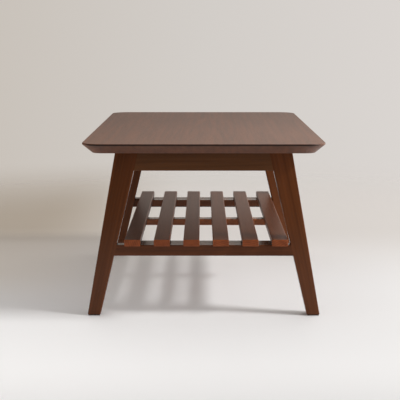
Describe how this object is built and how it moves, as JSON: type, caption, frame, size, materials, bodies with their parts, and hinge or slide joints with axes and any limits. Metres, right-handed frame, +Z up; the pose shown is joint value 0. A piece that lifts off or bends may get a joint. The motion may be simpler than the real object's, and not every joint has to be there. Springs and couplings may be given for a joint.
{
  "type": "coffee table",
  "caption": "Dark wooden coffee table: a round-cornered top with an undercut bevel on splayed, tapered end frames, with a slatted shelf below.",
  "frame": {"origin": "on the floor, under the middle of the table", "axes": "+X across the table to the right, seen from its front end, +Y along it to the rear end, +Z up"},
  "size_m": [0.6, 1, 0.457],
  "materials": {
    "top_wood": "satin",
    "frame_wood": "satin",
    "slat_wood": "satin",
    "batten_wood": "satin",
    "block_wood": "matte",
    "screw_steel": "satin",
    "pad_plastic": "matte"
  },
  "bodies": {
    "root": {"table_top": "top_wood", "leg_front_left": "frame_wood", "leg_front_right": "frame_wood", "leg_rear_left": "frame_wood", "leg_rear_right": "frame_wood", "apron_front": "frame_wood", "apron_rear": "frame_wood", "rail_left": "frame_wood", "rail_right": "frame_wood", "stretcher_front": "frame_wood", "stretcher_rear": "frame_wood", "slat_1": "slat_wood", "slat_2": "slat_wood", "slat_3": "slat_wood", "slat_4": "slat_wood", "slat_5": "slat_wood", "slat_6": "slat_wood", "batten_front": "batten_wood", "batten_middle": "batten_wood", "batten_rear": "batten_wood", "corner_block_front_left": "block_wood", "corner_block_front_right": "block_wood", "corner_block_rear_left": "block_wood", "corner_block_rear_right": "block_wood", "middle_block_left": "block_wood", "middle_block_right": "block_wood", "foot_pad_front_left": "pad_plastic", "foot_pad_front_right": "pad_plastic", "foot_pad_rear_left": "pad_plastic", "foot_pad_rear_right": "pad_plastic", "slat_screws": "screw_steel", "batten_screws": "screw_steel", "top_screws": "screw_steel"}
  },
  "joints": []
}
